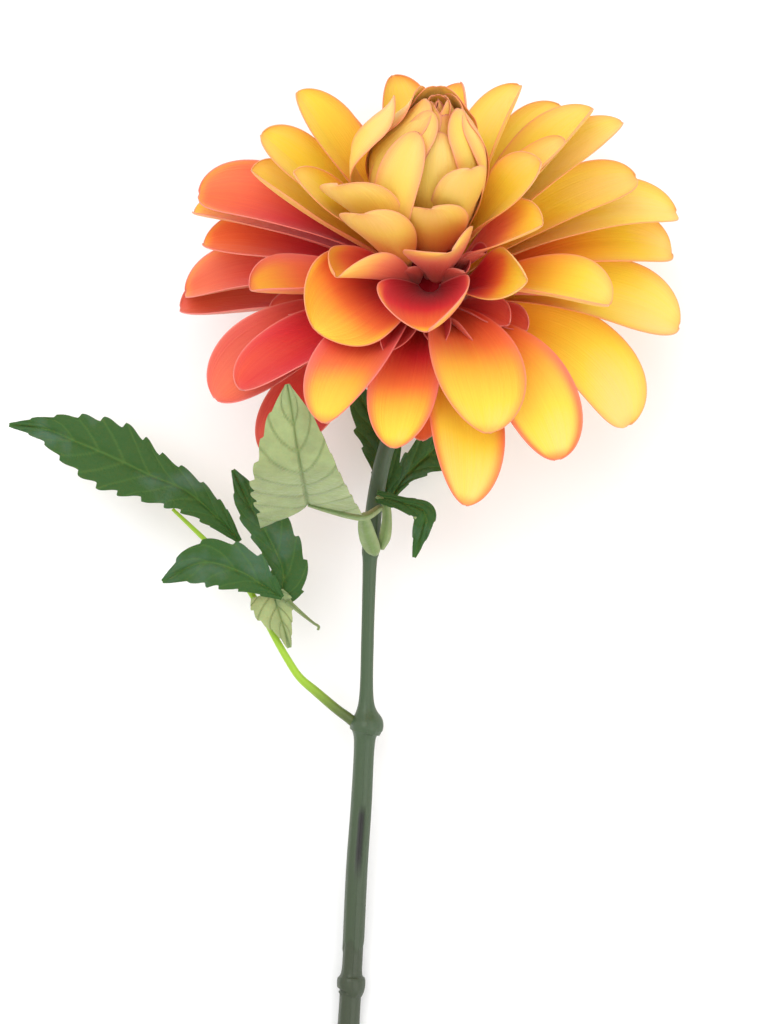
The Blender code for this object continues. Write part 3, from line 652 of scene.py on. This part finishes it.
def add_tube(name, points, run, angle, materials, nodes, attributes):
    """A closed piece from rings of points, with a flat fan at each end."""
    rows, columns = points.shape[:2]
    ends = np.stack([points[0].mean(axis=0), points[-1].mean(axis=0)])
    count = rows * columns
    ring = np.arange(columns)
    after = np.roll(ring, -1)
    first = np.stack([np.full(columns, count), after, ring], axis=1)
    to_last = count - columns
    last = np.stack([np.full(columns, count + 1), ring + to_last, after + to_last], axis=1)
    u, v = np.broadcast_arrays(angle[None, :] / (2 * np.pi), run[:, None])
    uv = np.vstack([np.stack([u, v], axis=-1).reshape(-1, 2), [[0.5, run[0]], [0.5, run[-1]]]])
    ready = {key: np.append(np.ravel(values), [0.0, 0.0]) for key, values in attributes.items()}
    faces = [grid_faces(rows, columns, closed=True), first, last]
    joined = np.vstack([points.reshape(-1, 3), ends])
    return add_piece(name, joined, faces, materials, nodes, ready, uv)


# ---------------------------------------------------------------- materials


def new_material(name, roughness, sheen=0.0, subsurface=0.0, specular=0.4):
    """A Principled material with its plain numbers on the shader's own sockets."""
    material = bpy.data.materials.new(name)
    material.use_nodes = True
    shader = material.node_tree.nodes["Principled BSDF"]
    shader.inputs["Roughness"].default_value = roughness
    shader.inputs["Specular IOR Level"].default_value = specular
    shader.inputs["Sheen Weight"].default_value = sheen
    shader.inputs["Sheen Roughness"].default_value = 0.4
    shader.inputs["Subsurface Weight"].default_value = subsurface
    shader.inputs["Subsurface Radius"].default_value = SCATTER_COLOURS
    shader.inputs["Subsurface Scale"].default_value = SCATTER_DEPTH
    return material, material.node_tree, shader


def node(tree, kind, **values):
    """A node with its properties set."""
    made = tree.nodes.new(kind)
    for key, value in values.items():
        setattr(made, key, value)
    return made


def attribute(tree, name):
    """The value of a piece's own attribute."""
    return node(tree, "ShaderNodeAttribute", attribute_name=name).outputs["Fac"]


def ramp(tree, factor, stops):
    """A colour from stops of (place, colour)."""
    made = node(tree, "ShaderNodeValToRGB")
    elements = made.color_ramp.elements
    while len(elements) < len(stops):
        elements.new(0.5)
    for element, (place, colour) in zip(elements, stops):
        element.position = place
        element.color = (*colour, 1.0)
    tree.links.new(factor, made.inputs["Fac"])
    return made.outputs["Color"]


def math_node(tree, operation, first, second):
    """One sum of two values, either of which may be a number."""
    made = node(tree, "ShaderNodeMath", operation=operation)
    for socket, value in zip(made.inputs, (first, second)):
        if isinstance(value, (int, float)):
            socket.default_value = value
        else:
            tree.links.new(value, socket)
    return made.outputs[0]


def mix(tree, factor, first, second):
    """A blend of two colours, either of which may be a plain colour."""
    made = node(tree, "ShaderNodeMix", data_type="RGBA")
    sockets = (made.inputs["Factor"], made.inputs[6], made.inputs[7])
    for socket, value in zip(sockets, (factor, first, second)):
        if isinstance(value, (int, float)):
            socket.default_value = value
        elif isinstance(value, tuple):
            socket.default_value = (*value, 1.0)
        else:
            tree.links.new(value, socket)
    return made.outputs[2]


def noise(tree, scale, stretch=(1.0, 1.0, 1.0), source="Object", detail=3.0):
    """Soft noise on Object coordinates or on the UV map."""
    where = node(tree, "ShaderNodeTexCoord").outputs[source]
    mapping = node(tree, "ShaderNodeMapping")
    mapping.inputs["Scale"].default_value = stretch
    tree.links.new(where, mapping.inputs["Vector"])
    made = node(tree, "ShaderNodeTexNoise")
    made.inputs["Scale"].default_value = scale
    made.inputs["Detail"].default_value = detail
    tree.links.new(mapping.outputs["Vector"], made.inputs["Vector"])
    return made.outputs["Fac"]


def bump(tree, shader, height, distance, strength=1.0):
    """Relief of a height, in metres for a height of 1."""
    made = node(tree, "ShaderNodeBump")
    made.inputs["Strength"].default_value = strength
    made.inputs["Distance"].default_value = distance
    tree.links.new(height, made.inputs["Height"])
    tree.links.new(made.outputs["Normal"], shader.inputs["Normal"])


def petal_material(bloom, name, back):
    """Printed satin cloth: warm colours from the claw to the tip, a pink hem, fine veins and weave."""
    material, tree, shader = new_material(name, 0.5, sheen=0.12, subsurface=0.2)
    warmth = attribute(tree, "warmth")
    streaks = noise(tree, 30.0, (1.0, 0.05, 1.0), source="UV")
    drift = math_node(tree, "MULTIPLY", math_node(tree, "SUBTRACT", streaks, 0.5), 0.10)
    streaked = math_node(tree, "ADD", warmth, drift)
    print_colour = ramp(tree, streaked, [
        (0.0, tuple(bloom.dark_red)), (0.18, tuple(bloom.red)), (0.46, tuple(bloom.orange)),
        (0.66, tuple(bloom.amber)), (0.86, tuple(bloom.yellow)), (1.0, tuple(bloom.pale_yellow))])
    pink = ramp(tree, streaked, [
        (0.0, tuple(bloom.rose)), (0.5, tuple(bloom.salmon)), (1.0, tuple(bloom.orange))])
    blush = attribute(tree, "blush")
    if back:
        blush = math_node(tree, "ADD", blush, 0.07)
    colour = mix(tree, blush, print_colour, pink)
    colour = mix(tree, attribute(tree, "hem"), colour, tuple(bloom.hem_pink))
    if back:
        colour = mix(tree, 0.18, colour, (0.97, 0.62, 0.34))
    tree.links.new(colour, shader.inputs["Base Color"])
    veins = noise(tree, 46.0, (1.0, 0.035, 1.0), source="UV", detail=1.0)
    weave = noise(tree, 2600.0, detail=1.0)
    height = math_node(tree, "ADD", veins, math_node(tree, "MULTIPLY", weave, 0.22))
    bump(tree, shader, height, 0.00022, 0.7)
    return material


def leaf_top_material(green):
    """Dark cloth leaf with a painted sheen in bluish patches that stand in for reflected light, pale veins
    and a fine grain.
    """
    material, tree, shader = new_material("leaf top", 0.6, sheen=0.06, subsurface=0.1, specular=0.25)
    # Painted sheen: noise patches of the bluish sheen colour over the dark leaf green.
    patches = ramp(tree, noise(tree, 75.0, detail=4.0), [(0.52, (0, 0, 0)), (0.78, (1, 1, 1))])
    base = mix(tree, patches, tuple(green.leaf), tuple(green.painted_leaf_sheen))
    veins = math_node(tree, "MULTIPLY", attribute(tree, "vein"), 0.55)
    colour = mix(tree, veins, base, tuple(green.leaf_vein))
    tree.links.new(colour, shader.inputs["Base Color"])
    bump(tree, shader, noise(tree, 900.0, detail=4.0), 0.0006, 0.7)
    return material


def leaf_under_material(green):
    """Pale underside of moulded cloth, mottled, with raised ribs."""
    material, tree, shader = new_material("leaf underside", 0.6, sheen=0.2, subsurface=0.25)
    patches = ramp(tree, noise(tree, 170.0), [(0.35, (0, 0, 0)), (0.7, (1, 1, 1))])
    shade = tuple(0.78 * value for value in green.underside)
    base = mix(tree, patches, shade, tuple(green.underside))
    veins = math_node(tree, "MULTIPLY", attribute(tree, "vein"), 0.75)
    colour = mix(tree, veins, base, tuple(green.underside_vein))
    tree.links.new(colour, shader.inputs["Base Color"])
    crinkle = math_node(tree, "ADD", noise(tree, 420.0, detail=4.0), attribute(tree, "vein"))
    bump(tree, shader, crinkle, 0.0009, 0.8)
    return material


def stem_material(green):
    """Soft plastic sleeve: grey-green, browner towards the cut, streaked along its length."""
    material, tree, shader = new_material("stem sleeve", 0.42, subsurface=0.08, specular=0.5)
    streaks = noise(tree, 26.0, (1.0, 0.06, 1.0), source="UV")
    halfway = tuple(0.5 * (a + b) for a, b in zip(green.stem_low, green.stem_top))
    low = mix(tree, streaks, tuple(green.stem_low), halfway)
    top = mix(tree, streaks, tuple(green.stem_top), tuple(1.4 * value for value in green.stem_top))
    colour = mix(tree, attribute(tree, "age"), top, low)
    # Painted shade: where the slit opens, the sleeve is painted near black for the shade inside it.
    colour = mix(tree, attribute(tree, "dark"), colour, (0.012, 0.012, 0.010))
    colour = mix(tree, attribute(tree, "red"), colour, (0.30, 0.002, 0.008))
    tree.links.new(colour, shader.inputs["Base Color"])
    bump(tree, shader, math_node(tree, "ADD", streaks, noise(tree, 900.0)), 0.00025, 0.6)
    return material


def stalk_material(green):
    """Bright waxy plastic of the leaf stalk, darker where it leaves the stem."""
    material, tree, shader = new_material("leaf stalk", 0.4, subsurface=0.3, specular=0.5)
    streaks = noise(tree, 18.0, (1.0, 0.1, 1.0), source="UV")
    fresh = mix(tree, streaks, tuple(green.stalk), tuple(0.75 * value for value in green.stalk))
    colour = mix(tree, attribute(tree, "age"), fresh, tuple(green.stem_low))
    tree.links.new(colour, shader.inputs["Base Color"])
    bump(tree, shader, streaks, 0.0002, 0.5)
    return material


def table_material():
    """Plain white paint."""
    material, _, shader = new_material("table", 0.9, specular=0.1)
    shader.inputs["Base Color"].default_value = (0.98, 0.98, 0.98, 1.0)
    return material


# ---------------------------------------------------------------- builders


def build_petal(bloom, name, row, seed, materials, nodes):
    """One petal from its row: eleven terms of shape, then its colours."""
    dress_petal(bloom, name, petal_surface(bloom, row[:11], seed), row[11:], seed, materials, nodes)


def dress_petal(bloom, name, surface, colours, seed, materials, nodes):
    """Give a petal's surface its colours, its pink hem and its thickness."""
    points, edge, s, t = surface
    warmth, blush = petal_colours(s, t, edge, *colours, seed)
    tip = colours[1]
    hem = (1 - smooth_step(0.15, 1.0, edge / bloom.hem)) * min(0.9, 0.45 + 0.8 * (1 - tip))
    shared = {"warmth": warmth, "blush": blush, "hem": hem}
    points, edge = points[:, ::-1], edge[:, ::-1]
    shared = {key: value[:, ::-1] for key, value in shared.items()}
    add_sheet(name, points, s, t, bloom.cloth, materials, nodes, shared)


class DAHLIA_OT_petals(bpy.types.Operator):
    """Make the open petals, ring by ring"""

    bl_idname = "dahlia.petals"
    bl_label = "Petals"

    def execute(self, context):
        """Each petal stands for its own solid."""
        bloom = context.scene.dahlia_bloom
        materials = [petal_material(bloom, "petal face", False),
                     petal_material(bloom, "petal back", True)]
        for ring, rows in RINGS.items():
            for number, row in enumerate(rows, start=1):
                build_petal(bloom, f"{ring}_petal_{number:02d}", row, number * 1.7 + len(ring), materials,
                            [f"petal_{ring}_{number:02d}"])
        for number, row in enumerate(FLORETS, start=1):
            build_petal(bloom, f"floret_{number:02d}", row, number * 1.3, materials, ["receptacle"])
        return {"FINISHED"}


class DAHLIA_OT_bud(bpy.types.Operator):
    """Make the closed petals at the middle of the bloom"""

    bl_idname = "dahlia.bud"
    bl_label = "Bud"

    def execute(self, context):
        """All of them stand for the bud's solid."""
        bloom = context.scene.dahlia_bloom
        materials = [petal_material(bloom, "bud petal face", False),
                     petal_material(bloom, "bud petal back", True)]
        for number, row in enumerate(BUD_PETALS, start=1):
            seed = number * 2.3
            surface = bud_petal_surface(bloom, row[:8], seed)
            dress_petal(bloom, f"bud_petal_{number:02d}", surface, (*row[8:], *BUD_PINK), seed, materials,
                        ["bud"])
        return {"FINISHED"}


class DAHLIA_OT_stem(bpy.types.Operator):
    """Make the receptacle, the stem and the leaf stalk"""

    bl_idname = "dahlia.stem"
    bl_label = "Stem"

    def execute(self, context):
        """Tubes along smooth paths, and a turned receptacle."""
        green, bloom = context.scene.dahlia_green, context.scene.dahlia_bloom
        sleeve = stem_material(green)
        self.receptacle(bloom, sleeve)
        self.stem(green, sleeve)
        self.stalk(green)
        return {"FINISHED"}

    def receptacle(self, bloom, sleeve):
        """The turned base that holds the petals, with shallow ribs."""
        axis, face, right = bloom_axes(bloom)
        profile = smooth_path(RECEPTACLE, CALYX_STEPS)
        angle = round_angles(CALYX_SIDES)
        ring = np.cos(angle)[None, :, None] * face + np.sin(angle)[None, :, None] * right
        radius = np.maximum(profile[:, 1:2], 0.02) * (1 + 0.02 * np.cos(10 * angle)) * MM
        points = np.array(bloom.base) + profile[:, :1, None] * MM * axis + radius[..., None] * ring
        run = np.linspace(0, 1, len(profile))
        shape = np.zeros(points.shape[:2])
        red = shape + smooth_step(*RED_FROM, profile[::-1, 0:1])
        add_tube("calyx", points[::-1], run, angle, [sleeve], ["receptacle"],
                 {"age": shape + 0.2, "dark": shape, "red": red})

    def stem(self, green, sleeve):
        """The jointed stem, with a slit in its sleeve below the joint and a ragged end above the collar."""
        path, spine, radii = laid_path(green, STEM_PATH, STEM_STEPS)
        angle = round_angles(STEM_SIDES)
        y = path[:, 1:2]
        turn = (angle + np.pi) % (2 * np.pi) - np.pi
        opened = smooth_step(*SLIT_CLOSES, y) * (1 - smooth_step(*SLIT_OPENS, y))
        # The slit mask both sinks the sleeve and, as the dark attribute, paints shade into the slit.
        slit = np.exp(-((turn + 0.1) / 0.34) ** 8) * opened
        ragged = SLEEVE_EDGE + 1.6 * np.sin(3 * angle) + 0.8 * np.sin(7 * angle)
        bare = 1 - smooth_step(-SLEEVE_STEP, SLEEVE_STEP, y - ragged)
        radius = radii * (1 + 0.012 * np.sin(9 * angle)) - slit - 0.28 * bare
        age = np.clip(0.7 * (1 - smooth_step(*BROWNER, y)) + 0.5 * bare, 0, 1)
        add_tube("stem_sleeve", tube_surface(spine, radius * MM, angle), run_along(spine) * STREAK_RUN, angle,
                 [sleeve], ["stem"], {"age": age, "dark": slit, "red": np.zeros_like(slit)})

    def stalk(self, green):
        """The bright stalk of the left leaf."""
        path, spine, radii = laid_path(green, STALK_PATH, STALK_STEPS)
        angle = round_angles(STALK_SIDES)
        radius = radii * (1 - 0.12 * np.exp(-((angle - np.pi / 2) / 0.5) ** 2)) * MM
        age = np.broadcast_to(smooth_step(*STALK_DARKENS, path[:, 0:1]), radius.shape) * 0.85
        add_tube("leaf_stalk", tube_surface(spine, radius, angle), run_along(spine) * STREAK_RUN, angle,
                 [stalk_material(green)], ["stalk_left"], {"age": age})


class DAHLIA_OT_leaves(bpy.types.Operator):
    """Make the toothed leaves"""

    bl_idname = "dahlia.leaves"
    bl_label = "Leaves"

    def execute(self, context):
        """Each blade stands for its own solid."""
        green = context.scene.dahlia_green
        sides = {"top": leaf_top_material(green), "underside": leaf_under_material(green)}
        for name, facing, fold, teeth, lobes, shown, stations in LEAVES:
            points, s, t, veins, rib = leaf_surface(green, facing, fold, teeth, lobes, stations)
            hidden = "underside" if shown == "top" else "top"
            vein = np.clip(veins * 0.6 + rib, 0, 1)
            add_sheet(name + "_blade", points, s, t, green.blade, [sides[shown], sides[hidden]],
                      [name], {"vein": vein})
        return {"FINISHED"}


class DAHLIA_OT_ribs(bpy.types.Operator):
    """Make the ribs and clasps that join the small leaves to the stem"""

    bl_idname = "dahlia.ribs"
    bl_label = "Ribs"

    def execute(self, context):
        """Short tubes along smooth paths, flattened a little."""
        green = context.scene.dahlia_green
        pale = leaf_under_material(green)
        for name, (node_name, stations) in RIBS.items():
            _, spine, radii = laid_path(green, stations, RIB_STEPS)
            angle = round_angles(RIB_SIDES)
            radius = radii * (1 - 0.15 * np.cos(2 * angle) + 0.05 * np.sin(5 * angle)) * MM
            vein = np.broadcast_to(0.5 + 0.4 * np.cos(3 * angle), radius.shape)
            add_tube(name, tube_surface(spine, radius, angle), np.linspace(0, 1, RIB_STEPS), angle, [pale],
                     [node_name], {"vein": vein})
        return {"FINISHED"}


class DAHLIA_OT_stage(bpy.types.Operator):
    """Make the table top, the lights and the camera"""

    bl_idname = "dahlia.stage"
    bl_label = "Stage"

    def execute(self, context):
        """A white table under soft light, seen from straight above."""
        stage, green = context.scene.dahlia_stage, context.scene.dahlia_green
        half = stage.table / 2
        corners = [(-half, -half, 0), (half, -half, 0), (half, half, 0), (-half, half, 0)]
        mesh = bpy.data.meshes.new("table_top")
        mesh.from_pydata(corners, [], [(0, 1, 2, 3)])
        mesh.materials.append(table_material())
        table = bpy.data.objects.new("table_top", mesh)
        context.scene.collection.objects.link(table)
        for name, place, side, power in SOFT_BOXES:
            self.light(context, name, place, side, power)
        world = bpy.data.worlds.new("soft sky")
        world.use_nodes = True
        sky = world.node_tree.nodes["Background"]
        sky.inputs["Color"].default_value = (1.0, 1.0, 1.0, 1.0)
        sky.inputs["Strength"].default_value = stage.sky
        context.scene.world = world
        camera = bpy.data.objects.new("camera", bpy.data.cameras.new("camera"))
        camera.data.lens = stage.lens
        camera.data.sensor_width = 36.0
        camera.location = (green.offset[0], green.offset[1], stage.height)
        context.scene.collection.objects.link(camera)
        context.scene.camera = camera
        context.scene.view_settings.view_transform = "Standard"
        return {"FINISHED"}

    def light(self, context, name, place, side, power):
        """A square soft box that looks at the flower."""
        lamp = bpy.data.lights.new(name, "AREA")
        lamp.size = side
        lamp.energy = power
        holder = bpy.data.objects.new(name, lamp)
        holder.location = place
        holder.rotation_euler = (math.atan2(math.hypot(place[0], place[1]), place[2]), 0.0,
                                 math.atan2(place[1], place[0]) + math.pi / 2)
        context.scene.collection.objects.link(holder)


class DAHLIA_PT_panel(bpy.types.Panel):
    """The flower's sizes, colours and steps"""

    bl_idname = "DAHLIA_PT_panel"
    bl_label = "Dahlia"
    bl_space_type = "VIEW_3D"
    bl_region_type = "UI"
    bl_category = "Dahlia"

    def draw(self, context):
        """List the settings of each group and the operators."""
        for group in (context.scene.dahlia_bloom, context.scene.dahlia_green, context.scene.dahlia_stage):
            box = self.layout.box()
            for key in group.__annotations__:
                box.prop(group, key)
        for step in STEPS:
            self.layout.operator(step.bl_idname)


STEPS = (DAHLIA_OT_petals, DAHLIA_OT_bud, DAHLIA_OT_stem, DAHLIA_OT_leaves, DAHLIA_OT_ribs, DAHLIA_OT_stage)
GROUPS = {"dahlia_bloom": BloomSettings, "dahlia_green": GreenSettings, "dahlia_stage": StageSettings}
CLASSES = (*GROUPS.values(), *STEPS, DAHLIA_PT_panel)


def register():
    """Add the classes, and the settings to the scene."""
    for kind in CLASSES:
        bpy.utils.register_class(kind)
    for name, kind in GROUPS.items():
        setattr(bpy.types.Scene, name, bpy.props.PointerProperty(type=kind))


def unregister():
    """Take the settings and the classes away again."""
    for name in GROUPS:
        delattr(bpy.types.Scene, name)
    for kind in reversed(CLASSES):
        bpy.utils.unregister_class(kind)


def main():
    """Build the whole scene."""
    register()
    bpy.ops.dahlia.petals()
    bpy.ops.dahlia.bud()
    bpy.ops.dahlia.stem()
    bpy.ops.dahlia.leaves()
    bpy.ops.dahlia.ribs()
    bpy.ops.dahlia.stage()


if __name__ == "__main__":
    main()
